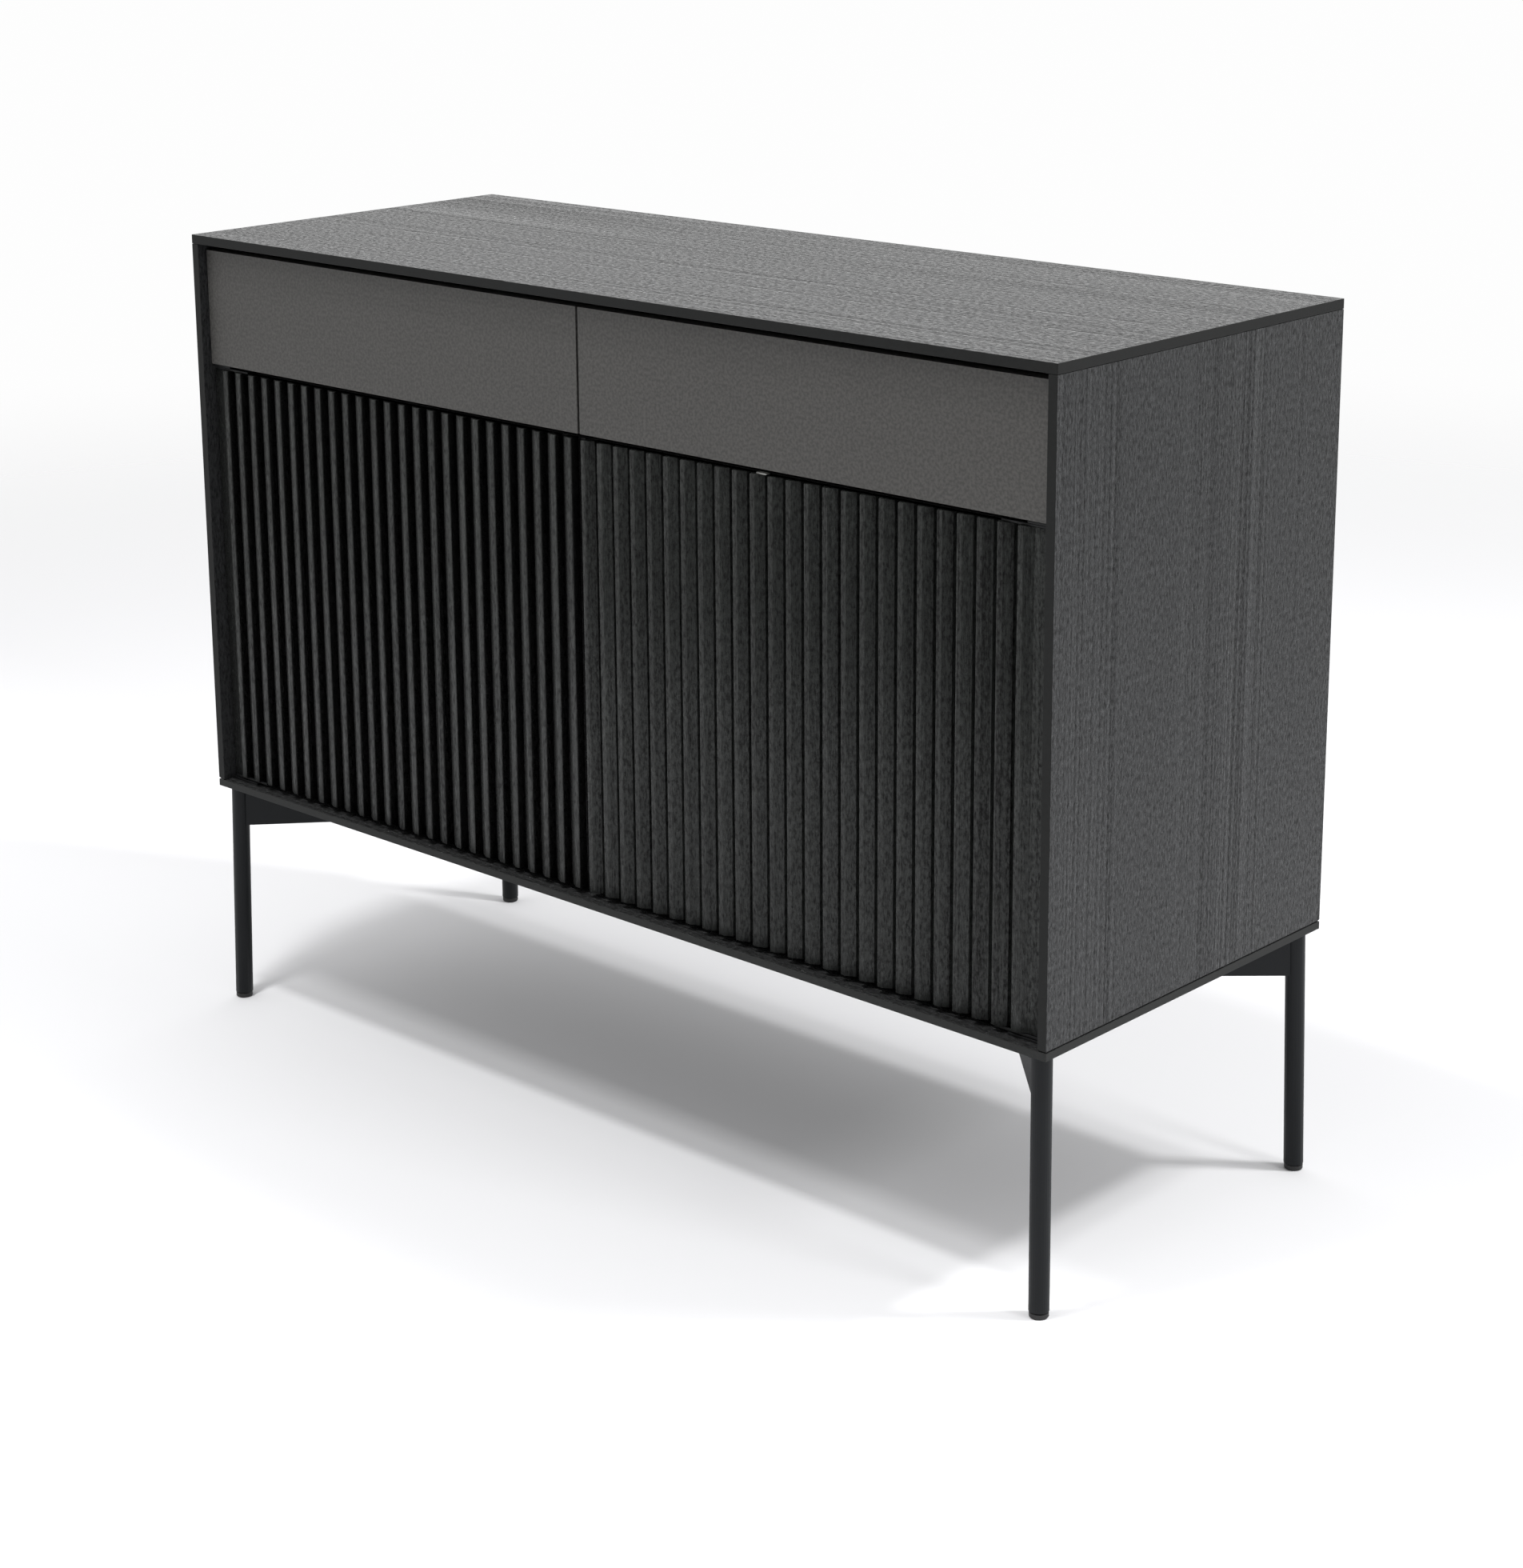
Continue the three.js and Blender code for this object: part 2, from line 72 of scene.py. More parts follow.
class Shader:
    """One material's node tree. The keyword values are set on the Principled shader's own sockets."""

    def __init__(self, name, **values):
        self.material = bpy.data.materials.new(name)
        self.material.use_nodes = True
        self.tree = self.material.node_tree
        self.surface = self.tree.nodes["Principled BSDF"]
        for socket, value in values.items():
            self.surface.inputs[socket.replace("_", " ")].default_value = value
        coordinates = self.add("ShaderNodeTexCoord").outputs
        self.place = coordinates["Object"]
        self.normal = coordinates["Normal"]

    def add(self, kind, settings=None, **inputs):
        node = self.tree.nodes.new(kind)
        for key, value in (settings or {}).items():
            setattr(node, key, value)
        for socket, value in inputs.items():
            self.feed(node.inputs[socket], value)
        return node

    def feed(self, socket, value):
        if isinstance(value, bpy.types.NodeSocket):
            self.tree.links.new(value, socket)
        else:
            socket.default_value = value

    def math(self, operation, first, second=0.0):
        node = self.add("ShaderNodeMath", {"operation": operation})
        self.feed(node.inputs[0], first)
        self.feed(node.inputs[1], second)
        return node.outputs[0]

    def stretched(self, factors, shift=(0.0, 0.0, 0.0)):
        """The object's own coordinates plus a shift, times one factor for each axis."""
        moved = self.add("ShaderNodeVectorMath", {"operation": "ADD"})
        self.feed(moved.inputs[0], self.place)
        self.feed(moved.inputs[1], shift)
        scaled = self.add("ShaderNodeVectorMath", {"operation": "MULTIPLY"})
        self.feed(scaled.inputs[0], moved.outputs[0])
        self.feed(scaled.inputs[1], factors)
        return scaled.outputs[0]

    def noise(self, vector, detail=2.0, roughness=0.5):
        node = self.add("ShaderNodeTexNoise", Vector=vector, Scale=1.0, Detail=detail, Roughness=roughness)
        return node.outputs["Fac"]

    def spread(self, value, low, high, to_low=0.0, to_high=1.0, smooth=False):
        kind = "SMOOTHSTEP" if smooth else "LINEAR"
        node = self.add("ShaderNodeMapRange", {"interpolation_type": kind, "clamp": True}, Value=value)
        set_range(node, low, high, to_low, to_high)
        return node.outputs["Result"]

    def vary(self, noise, to_low, to_high):
        """The whole swing of a noise, mapped to a range."""
        return self.spread(noise, NOISE_LOW, NOISE_HIGH, to_low, to_high)

    def tint(self, colour, brightness):
        """A colour times a brightness that varies over the surface."""
        node = self.add("ShaderNodeVectorMath", {"operation": "SCALE"})
        self.feed(node.inputs[0], colour)
        self.feed(node.inputs["Scale"], brightness)
        return node.outputs[0]

    def colour(self, value):
        self.feed(self.surface.inputs["Base Color"], value)

    def rough(self, value):
        self.feed(self.surface.inputs["Roughness"], value)

    def bump(self, height, distance, strength=1.0):
        node = self.add("ShaderNodeBump", Height=height, Distance=distance, Strength=strength)
        self.feed(self.surface.inputs["Normal"], node.outputs["Normal"])

    def axis(self, name):
        return self.add("ShaderNodeSeparateXYZ", Vector=self.place).outputs[name]

    def facing(self, name):
        """How much the surface faces along one axis, from -1 to 1."""
        return self.add("ShaderNodeSeparateXYZ", Vector=self.normal).outputs[name]


# ---------------------------------------------------------------- materials
# ASH_COLOUR is the veneer's own tone. The top, side and slat colours are copies of it with painted light
# and shade: the top lighter for the sheen it catches, the side a little lighter, and each door's slats
# darker, each set to how that face is lit.
ASH_COLOUR = (0.024, 0.0245, 0.0247)
TOP_LIT_COLOUR = (0.038, 0.0385, 0.0385)
SIDE_LIT_COLOUR = (0.027, 0.0278, 0.0286)
BAND_COLOUR = (0.011, 0.0115, 0.0112)
RIGHT_SLAT_SHADED_COLOUR = (0.0168, 0.018, 0.0171)
LEFT_SLAT_SHADED_COLOUR = (0.0205, 0.0218, 0.0208)
LACQUER_COLOUR = (0.064, 0.062, 0.0585)
PAPER_COLOUR = (0.885, 0.885, 0.9)


def grain_axes(along, along_factor, across_factor):
    """Stretch factors that draw a noise out along the grain."""
    return tuple(along_factor if axis == along else across_factor for axis in "XYZ")


def centred(shader, noise, amount, low=NOISE_LOW, high=NOISE_HIGH):
    """A noise spread over -amount to +amount."""
    return shader.spread(noise, low, high, -amount, amount)


LINE_WANDER = 20 * MM
LINE_PAINTED_SHADE, LINE_PAINTED_HIGHLIGHT = 0.15, 2.4  # brightness factors: painted shade in a long line's groove and a painted highlight on its lip


def long_grain_line(shader, centre, slope, width):
    """A groove along X that wanders and breaks up: how strong its rear half, sunk and given painted shade,
    and its front lip, given a painted highlight, are.
    """
    wander = shader.noise(shader.stretched((3.0, 0.0, 0.0), (centre, 0.0, 0.0)), detail=2.0)
    slant = shader.math("MULTIPLY", shader.axis("X"), slope)
    path = shader.math("ADD", slant, shader.math("MULTIPLY", wander, LINE_WANDER))
    offset = shader.math("SUBTRACT", shader.axis("Y"), shader.math("ADD", path, centre - LINE_WANDER / 2))
    breaks = shader.noise(shader.stretched((11.0, 0.0, 0.0), (0.0, 0.0, centre)), detail=3.0)
    presence = shader.spread(breaks, 0.36, 0.56, 0.12, 1.0)
    halves = []
    for middle in (width / 2, -width / 2):
        distance = shader.math("ABSOLUTE", shader.math("SUBTRACT", offset, middle))
        band = shader.spread(distance, 0.3 * width, 0.8 * width, 1.0, 0.0)
        halves.append(shader.math("MULTIPLY", band, presence))
    return halves


def painted_gap_shading(shader, gap_shading):
    """Painted light and shade in the slats' gaps: brightness from the noses back to the gap floors, and on
    the walls that face +X, standing in for how much light reaches into them.
    """
    front, back, floor, wall = gap_shading
    depth = shader.spread(shader.axis("Y"), NOSE_PLANE + front, NOSE_PLANE + back, 1.0, floor, smooth=True)
    walls = shader.spread(shader.facing("X"), 0.5, 0.95, 1.0, wall)
    return shader.math("MULTIPLY", depth, walls)


FIBRE, CLOUD = 0.3, 0.08  # how much each of these shows in the ash's brightness
PORE_AROUND, PORE_INSIDE = 1.05, 0.5
STRIPE_RISE, SPECKLE_RISE, PORE_SINK, LINE_SINK = 0.35, 0.3, 0.4, 1.2  # as shares of the relief
STRIPE_SHINE, SPECKLE_SHINE, PORE_DULL = 0.3, 0.22, 0.2  # what each does to the roughness
SPECKLE_RANGE = (0.34, 0.66)  # noise levels from the darkest speckle to the lightest


def ash(name, along, shift=(0.0, 0.0, 0.0), lines=(), gap_shading=None, gloss=0.32, colour=ASH_COLOUR,
        dull=0.36, relief=0.45 * MM, streak=0.45, speck=0.75):
    """Black-stained open-pored ash veneer with its grain along one axis."""
    shader = Shader(name, Specular_IOR_Level=gloss)

    def grain(along_factor, across_factor, **options):
        factors = grain_axes(along, along_factor, across_factor)
        return shader.noise(shader.stretched(factors, shift), **options)

    stripes = centred(shader, grain(0.5, 230.0, detail=2.0, roughness=0.6), 1.0, 0.36, 0.64)
    groups = grain(0.6, 13.0, detail=1.0)
    cloud = grain(2.5, 8.0, detail=2.0)
    speckle = grain(170.0, 380.0, detail=2.0, roughness=0.75)
    fibre = grain(55.0, 1500.0, detail=1.0)
    pore = shader.spread(grain(120.0, 1900.0, detail=0.0), 0.6, 0.72)
    stripe = shader.math("MULTIPLY", stripes, shader.spread(groups, 0.4, 0.56))

    brightness = shader.math("ADD", 1.0, shader.math("MULTIPLY", stripe, streak))
    brightness = shader.math("ADD", brightness, centred(shader, speckle, speck, *SPECKLE_RANGE))
    brightness = shader.math("ADD", brightness, centred(shader, fibre, FIBRE))
    brightness = shader.math("ADD", brightness, centred(shader, cloud, CLOUD))
    pore_tone = shader.spread(pore, 0.0, 1.0, PORE_AROUND, PORE_INSIDE)
    brightness = shader.math("MULTIPLY", brightness, pore_tone)
    height = shader.math("MULTIPLY", stripe, STRIPE_RISE)
    height = shader.math("ADD", height, centred(shader, speckle, SPECKLE_RISE))
    height = shader.math("SUBTRACT", height, shader.math("MULTIPLY", pore, PORE_SINK))
    for centre, slope, width in lines:
        shaded_half, light = long_grain_line(shader, centre, slope, width)
        height = shader.math("SUBTRACT", height, shader.math("MULTIPLY", shaded_half, LINE_SINK))
        # painted shade in the groove and a painted highlight on its lip
        brightness = shader.math("MULTIPLY", brightness, shader.spread(shaded_half, 0.0, 1.0, 1.0, LINE_PAINTED_SHADE))
        brightness = shader.math("MULTIPLY", brightness, shader.spread(light, 0.0, 1.0, 1.0, LINE_PAINTED_HIGHLIGHT))
    # painted light and shade in the slats' gaps
    if gap_shading:
        brightness = shader.math("MULTIPLY", brightness, painted_gap_shading(shader, gap_shading))
    shader.colour(shader.tint(colour, brightness))

    swing = SPECKLE_SHINE * speck
    roughness = shader.spread(speckle, *SPECKLE_RANGE, dull + swing, dull - swing)
    roughness = shader.math("ADD", roughness, shader.math("MULTIPLY", stripe, -STRIPE_SHINE * streak))
    shader.rough(shader.math("ADD", roughness, shader.math("MULTIPLY", pore, PORE_DULL)))
    shader.bump(height, relief, 0.9)
    return shader.material


def edge_band(name, lift=1.0):
    """The boards' edges: thin bands, closed-pored and darker than the veneer."""
    shader = Shader(name, Specular_IOR_Level=0.16)
    streaks = shader.noise(shader.stretched((300.0, 300.0, 300.0)), detail=3.0, roughness=0.6)
    shader.colour(shader.tint(BAND_COLOUR, shader.vary(streaks, 0.8 * lift, 1.25 * lift)))
    shader.rough(shader.vary(streaks, 0.5, 0.62))
    shader.bump(streaks, 0.08 * MM, 0.5)
    return shader.material


def lacquer():
    """Warm grey matt lacquer with a fine orange-peel texture."""
    shader = Shader("front_lacquer", Specular_IOR_Level=0.35)
    cloud = shader.noise(shader.stretched((9.0, 9.0, 9.0)), detail=3.0)
    speck = shader.noise(shader.stretched((330.0, 330.0, 330.0)), detail=2.0)
    speckle = shader.spread(speck, 0.38, 0.62, -0.22, 0.26)
    brightness = shader.math("ADD", shader.vary(cloud, 0.96, 1.0), speckle)
    shader.colour(shader.tint(LACQUER_COLOUR, brightness))
    shader.rough(shader.vary(speck, 0.5, 0.6))
    peel = shader.noise(shader.stretched((1500.0, 1500.0, 1500.0)), detail=1.0)
    shader.bump(peel, 0.08 * MM, 0.5)
    return shader.material


def board(name, colour, roughness, grain="Y"):
    """Inner boards: dark melamine with a faint wood print."""
    shader = Shader(name, Specular_IOR_Level=0.4)
    streaks = shader.noise(shader.stretched(grain_axes(grain, 9.0, 380.0)), detail=3.0, roughness=0.6)
    cloud = shader.noise(shader.stretched(grain_axes(grain, 2.0, 18.0)), detail=2.0)
    brightness = shader.vary(streaks, 0.82, 1.16)
    brightness = shader.math("MULTIPLY", brightness, shader.vary(cloud, 0.93, 1.06))
    shader.colour(shader.tint(colour, brightness))
    shader.rough(shader.vary(streaks, roughness - 0.06, roughness + 0.08))
    shader.bump(streaks, 0.12 * MM, 0.4)
    return shader.material


def coated_steel(name, colour, roughness, texture=0.06 * MM, metallic=0.0, level=0.5):
    """Powder-coated or plated steel, with a fine grain in its gloss."""
    shader = Shader(name, Metallic=metallic, Specular_IOR_Level=level)
    cloud = shader.noise(shader.stretched((24.0, 24.0, 24.0)), detail=3.0)
    peel = shader.noise(shader.stretched((1400.0, 1400.0, 1400.0)), detail=2.0)
    shader.colour(shader.tint(colour, shader.vary(cloud, 0.93, 1.07)))
    shader.rough(shader.vary(peel, roughness - 0.05, roughness + 0.07))
    shader.bump(peel, texture, 0.5)
    return shader.material


def moulded_plastic(name, colour, roughness):
    """Plastic with a fine matt grain."""
    shader = Shader(name, Specular_IOR_Level=0.45)
    grain = shader.noise(shader.stretched((2200.0, 2200.0, 2200.0)), detail=1.0)
    cloud = shader.noise(shader.stretched((60.0, 60.0, 60.0)), detail=2.0)
    shader.colour(shader.tint(colour, shader.vary(cloud, 0.95, 1.05)))
    shader.rough(shader.vary(grain, roughness - 0.04, roughness + 0.06))
    shader.bump(grain, 0.05 * MM, 0.4)
    return shader.material


# Long grain lines on the top: Y at the middle of the width, slope, and half width
TOP_GRAIN_LINES = (
    (-37.5 * MM, 0.036, 4.2 * MM),
    (-94 * MM, 0.008, 3.6 * MM),
    (128 * MM, -0.032, 3.6 * MM),
    (40 * MM, 0.015, 2.2 * MM),
)
# Painted light and shade in the slats' gaps, behind the noses: where the slats start and stop changing
# tone; then the tones of the gap floor and wall. The left door's gaps get painted shade, the right door's
# gap floors painted light.
LEFT_GAP_PAINTED_SHADE = (1.5 * MM, 7.5 * MM, 0.08, 0.15)
RIGHT_GAP_PAINTED_LIGHT = (3.5 * MM, 8.5 * MM, 1.7, 1.0)

MATERIALS = {
    "top": ash("ash_top", "X", lines=TOP_GRAIN_LINES, gloss=0.36, colour=TOP_LIT_COLOUR,
               dull=0.34, relief=0.7 * MM, streak=0.5, speck=0.95),
    "base": ash("ash_base", "X", shift=(0.3, 0.7, 0.1)),
    "side": ash("ash_side", "Z", shift=(0.2, 0.4, 0.0), gloss=0.2, colour=SIDE_LIT_COLOUR, speck=0.6),
    "left_slats": ash("ash_left_slats", "Z", gap_shading=LEFT_GAP_PAINTED_SHADE, gloss=0.26, colour=LEFT_SLAT_SHADED_COLOUR,
                      relief=0.3 * MM),
    "right_slats": ash("ash_right_slats", "Z", shift=(0.1, 0.5, 0.2), gap_shading=RIGHT_GAP_PAINTED_LIGHT, gloss=0.2,
                       colour=RIGHT_SLAT_SHADED_COLOUR, relief=0.3 * MM),
    "band": edge_band("edge_band"),
    "base_band": edge_band("base_edge_band", lift=1.9),
    "lacquer": lacquer(),
    "carcass": board("carcass_board", (0.028, 0.028, 0.027), 0.5),
    "backing": board("back_board", (0.02, 0.02, 0.02), 0.6, grain="Z"),
    "drawer": board("drawer_board", (0.055, 0.054, 0.051), 0.5),
    "leg": coated_steel("leg_coat", (0.006, 0.0072, 0.0085), 0.42, level=0.2),
    "zinc": coated_steel("zinc_steel", (0.4, 0.41, 0.42), 0.36, metallic=1.0, texture=0.02 * MM),
    "black_steel": coated_steel("black_steel", (0.012, 0.0125, 0.013), 0.5, metallic=0.3, level=0.25),
    "glide": moulded_plastic("glide_plastic", (0.012, 0.012, 0.012), 0.5),
    "latch": moulded_plastic("latch_plastic", (0.42, 0.42, 0.4), 0.45),
}


# ---------------------------------------------------------------- CAD nodes: materials and eased edges
# The end of a node's name, its look, and how far its edges are eased
CAD_LOOKS = [
    ("back_panel", "backing", 0.4 * MM),
    ("drawer_deck", "carcass", 0.4 * MM),
    ("cupboard_partition", "carcass", 0.4 * MM),
    ("drawer_divider", "carcass", 0.4 * MM),
    ("shelf", "carcass", 0.6 * MM),
    ("door_core", "carcass", 0.4 * MM),
    ("drawer_front", "lacquer", 0.7 * MM),
    ("drawer_inner_side", "drawer", 0.8 * MM),
    ("drawer_outer_side", "drawer", 0.8 * MM),
    ("drawer_back", "drawer", 0.8 * MM),
    ("drawer_bottom", "drawer", 0.3 * MM),
    ("_leg", "leg", 0.6 * MM),
    ("leg_bracket", "leg", 0.5 * MM),
    ("foot_glide", "glide", 0.3 * MM),
    ("hinge_leaf", "black_steel", 0.25 * MM),
    ("push_latch", "latch", 0.6 * MM),
    ("latch_plunger", "latch", 0.4 * MM),
    ("runner_case_member", "zinc", 0.0),
    ("runner_middle_member", "zinc", 0.0),
    ("runner_drawer_member", "zinc", 0.0),
]


def ease_edges(cad_object, width):
    """Small bevels on the sharp edges. The weld first joins the vertices that the CAD mesh holds twice."""
    weld = cad_object.modifiers.new("weld", "WELD")
    weld.merge_threshold = WELD_REACH
    bevel = cad_object.modifiers.new("eased_edges", "BEVEL")
    bevel.width = width
    bevel.segments = 2
    bevel.limit_method = "ANGLE"
    bevel.angle_limit = SHARP_ANGLE


def dress_cad_nodes():
    """Gives the CAD nodes that stay visible their materials and eased edges."""
    for name, cad_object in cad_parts.items():
        for ending, look, width in CAD_LOOKS:
            if name.endswith(ending):
                cad_object.data.materials.clear()
                cad_object.data.materials.append(MATERIALS[look])
                if width:
                    ease_edges(cad_object, width)
                break


# ---------------------------------------------------------------- pieces
def make_piece(name, body, slot, material, vertices, faces):
    """A piece from vertices and faces, shaded smooth except at its sharp edges."""
    mesh = bpy.data.meshes.new(name)
    mesh.from_pydata(vertices, [], faces)
    mesh.validate()
    mesh.shade_smooth()
    mesh.set_sharp_from_angle(angle=SHADING_ANGLE)
    mesh.materials.append(material)
    return ridden(mesh, body)


def ridden(mesh, body):
    """The object for a mesh, with the mesh's name, moving with one body."""
    piece = bpy.data.objects.new(mesh.name, mesh)
    bpy.context.collection.objects.link(piece)
    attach(piece, body)
    return piece


def case_boards():
    """The veneered boards of the case, with eased edges and edge bands."""
    banded_board("top_panel", "top", "band", face_axis=2)
    banded_board("bottom_panel", "base", "base_band", face_axis=2)
    for side, _ in SIDES:
        banded_board(f"{side}_side_panel", "side", "band", face_axis=0)


def banded_board(node, look, band, face_axis):
    """A CAD board again, with its edges eased. The surfaces that don't face along one axis get the band."""
    shape = bmesh.new()
    shape.from_mesh(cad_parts[node].data)
    bmesh.ops.remove_doubles(shape, verts=shape.verts, dist=WELD_REACH)
    bmesh.ops.dissolve_limit(shape, angle_limit=FLAT_ANGLE, verts=shape.verts, edges=shape.edges)
    sharp = [edge for edge in shape.edges if edge.calc_face_angle(0.0) > SHARP_ANGLE]
    bmesh.ops.bevel(shape, geom=sharp, offset=BOARD_EASE, segments=2, profile=0.5, affect="EDGES")
    for face in shape.faces:
        face.material_index = 0 if abs(face.normal[face_axis]) > FLAT_COSINE else 1
    mesh = bpy.data.meshes.new(node.replace("panel", "board"))
    shape.to_mesh(mesh)
    shape.free()
    mesh.materials.append(MATERIALS[look])
    mesh.materials.append(MATERIALS[band])
    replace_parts(ridden(mesh, "case"), node)


STRAIGHT = math.pi - 0.05  # a corner with a wider angle than this stays as it is
EDGE_SHARE = 0.48  # how much of an edge one rounded corner may take up
MITRE_LIMIT = 0.5
ROUND_STEPS = 4


def rounded(points, radii):
    """A closed outline with its corners rounded, each by its own radius."""
    result = []
    count = len(points)
    for index, corner in enumerate(points):
        here = Vector(corner)
        before = Vector(points[index - 1]) - here
        after = Vector(points[(index + 1) % count]) - here
        radius = radii[index]
        angle = before.angle(after)
        if radius <= 0 or angle > STRAIGHT:
            result.append(tuple(here))
            continue
        reach = min(radius / math.tan(angle / 2), before.length * EDGE_SHARE, after.length * EDGE_SHARE)
        start = here + before.normalized() * reach
        end = here + after.normalized() * reach
        for step in range(ROUND_STEPS + 1):
            share = step / ROUND_STEPS
            point = start * (1 - share) ** 2 + here * (2 * share * (1 - share)) + end * share ** 2
            result.append(tuple(point))
    return result


def inset(points, distance):
    """A closed counter-clockwise outline moved inwards."""
    result = []
    count = len(points)
    for index, point in enumerate(points):
        here = Vector(point)
        before = (here - Vector(points[index - 1])).normalized()
        after = (Vector(points[(index + 1) % count]) - here).normalized()
        normal = Vector((-before.y - after.y, before.x + after.x))
        if normal.length < 1e-6:
            result.append(tuple(here))
            continue
        normal.normalize()
        along = Vector((-after.y, after.x))
        result.append(tuple(here + normal * (distance / max(MITRE_LIMIT, normal.dot(along)))))
    return result


def stacked(levels):
    """A closed shape through levels of points, with flat ends. Every level has as many points."""
    count = len(levels[0])
    vertices = [point for level in levels for point in level]
    faces = []
    for index in range(len(levels) - 1):
        low, high = index * count, (index + 1) * count
        for point in range(count):
            following = (point + 1) % count
            faces.append((low + point, low + following, high + following, high + point))
    faces.append(tuple(reversed(range(count))))
    faces.append(tuple(range(len(vertices) - count, len(vertices))))
    return vertices, faces


def prism(outline, levels):
    """An upright prism on a counter-clockwise outline, inset by a small distance at each level."""
    shapes = [(height, inset(outline, amount) if amount else outline) for height, amount in levels]
    return stacked([[(x, y, height) for x, y in shape] for height, shape in shapes])


def signed_area(outline):
    """More than 0 for a counter-clockwise outline."""
    total = 0.0
    for (x0, y0), (x1, y1) in zip(outline, outline[1:] + outline[:1]):
        total += x0 * y1 - x1 * y0
    return total / 2


def counter_clockwise(outline):
    return outline if signed_area(outline) > 0 else outline[::-1]


# ---------------------------------------------------------------- slatted faces
SLAT = {
    "count": 25,
    "pitch": 22.9 * MM,
    "nose": 6.8 * MM,
    "slope": 9 * MM,
    "drop": 5 * MM,
    "relief": 11 * MM,
}
SLAT_LEAD = {"left": 10 * MM, "right": 0.0}
SLAT_ROUND = {"steep": 1.6 * MM, "shoulder": 1.2 * MM, "foot": 0.8 * MM, "gap": 0.6 * MM, "end": 0.9 * MM}
SLAT_END = ((0.0, 1.0), (0.3, 0.35), (1.0, 0.0))  # distance from the end and inset, in roundings


def slat_outline(side, low, high):
    """A slatted face seen from above. The left one is drawn on the right door's side, then mirrored."""
    inner, outer = sorted((abs(low.x), abs(high.x)))
    nose, back = low.y, high.y
    foot, floor = nose + SLAT["drop"], nose + SLAT["relief"]
    corners = [((inner, back), 0.0)]
    if SLAT_LEAD[side]:
        corners.append(((inner, floor), SLAT_ROUND["gap"]))
    for index in range(SLAT["count"]):
        x = inner + SLAT_LEAD[side] + index * SLAT["pitch"]
        if x > inner:
            corners.append(((x, floor), SLAT_ROUND["gap"]))
        corners.append(((x, nose), SLAT_ROUND["steep"]))
        corners.append(((x + SLAT["nose"], nose), SLAT_ROUND["shoulder"]))
        corners.append(((x + SLAT["nose"] + SLAT["slope"], foot), SLAT_ROUND["foot"]))
        if index < SLAT["count"] - 1:
            corners.append(((x + SLAT["nose"] + SLAT["slope"], floor), SLAT_ROUND["gap"]))
    corners.append(((outer, foot), SLAT_ROUND["foot"]))
    corners.append(((outer, back), 0.0))
    points = rounded([point for point, _ in corners], [radius for _, radius in corners])
    mirror = -1 if side == "left" else 1
    return counter_clockwise([(mirror * x, y) for x, y in points])


def slat_faces():
    """The doors' slatted faces again, with rounded corners and ends."""
    for side, _ in SIDES:
        low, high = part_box(f"{side}_door_slats")
        ease = SLAT_ROUND["end"]
        lower_end = [(low.z + rise * ease, amount * ease) for rise, amount in SLAT_END]
        upper_end = [(high.z - rise * ease, amount * ease) for rise, amount in reversed(SLAT_END)]
        shape = prism(slat_outline(side, low, high), lower_end + upper_end)
        look = MATERIALS[f"{side}_slats"]
        piece = make_piece(f"{side}_slat_face", f"{side}_door", "ash_veneer", look, *shape)
        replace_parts(piece, f"{side}_door_slats")


# ---------------------------------------------------------------- hardware
ROUND = 24
# A screw head's side as shares of its radius and height, and the arms and corners of its cross
HEAD_SIDE = ((1.0, 0.0), (1.0, 0.3), (0.93, 0.62), (0.78, 0.88), (0.6, 1.0))
CROSS_ARM, CROSS_CORNER = 0.52, 0.17
CROSS_FLOOR = 0.25  # height of the recess's floor

# Radius and height of each kind of screw head
SCREW = {
    "leaf": (2.6 * MM, 0.3 * MM),
    "latch": (2.4 * MM, 1.1 * MM),
    "angle": (2.8 * MM, 1.2 * MM),
    "back": (3.2 * MM, 1.5 * MM),
    "leg_plate": (4.2 * MM, 2.0 * MM),
}
SLOT = {"zinc": "zinc_steel", "black_steel": "black_steel", "latch": "latch_plastic"}

# Turned profiles: radius and height, bottom to top
PIN_PROFILE = (
    (2.5 * MM, 0.0),
    (4.2 * MM, 0.0),
    (4.2 * MM, 0.6 * MM),
    (2.5 * MM, 0.6 * MM),
    (2.5 * MM, 8.4 * MM),
    (2.1 * MM, 9.0 * MM),
)
SLEEVE_PROFILE = (
    (3.6 * MM, 0.0),
    (3.6 * MM, 0.2 * MM),
    (3.3 * MM, 0.4 * MM),
    (2.5 * MM, 0.4 * MM),
    (2.4 * MM, 0.1 * MM),
)
PIN_DROP = 2.6 * MM  # from the shelf's underside to the pin's axis
PIN_FROM_FRONT, PIN_FROM_BACK = 40 * MM, 45 * MM
SLEEVE_PITCH = 32 * MM
SLEEVES_BELOW, SLEEVES_ABOVE = 3, 4

BUMPER_PROFILE = (
    (3.0 * MM, 0.0),
    (3.0 * MM, 2.5 * MM),
    (2.6 * MM, 4.2 * MM),
    (1.6 * MM, 5.3 * MM),
    (0.5 * MM, 5.6 * MM),
)
BUMPER_ACROSS = 4.8 * MM
BUMPER_FROM_END = 60 * MM

LEAF_SCREWS = (7 * MM, 19 * MM)  # from the leaf's free end
LATCH_SCREW_RISE, LATCH_SCREW_INSET = 3.4 * MM, 8 * MM

ANGLE_PLATE = {"leg": 22 * MM, "sheet": 1.5 * MM, "height": 46 * MM, "rise": 16 * MM, "ease": 0.3 * MM}
ANGLE_SCREW = {"along": 13 * MM, "from_end": 11 * MM}
ANGLE_ROUND = (1.5 * MM, 0.0, 0.0, 1.2 * MM, 0.0, 0.0)
ANGLE_GAP = 0.2 * MM

BACK_SCREW_MARGIN = 12 * MM
BACK_SCREW_COLUMNS, BACK_SCREW_ROWS = 7, 5

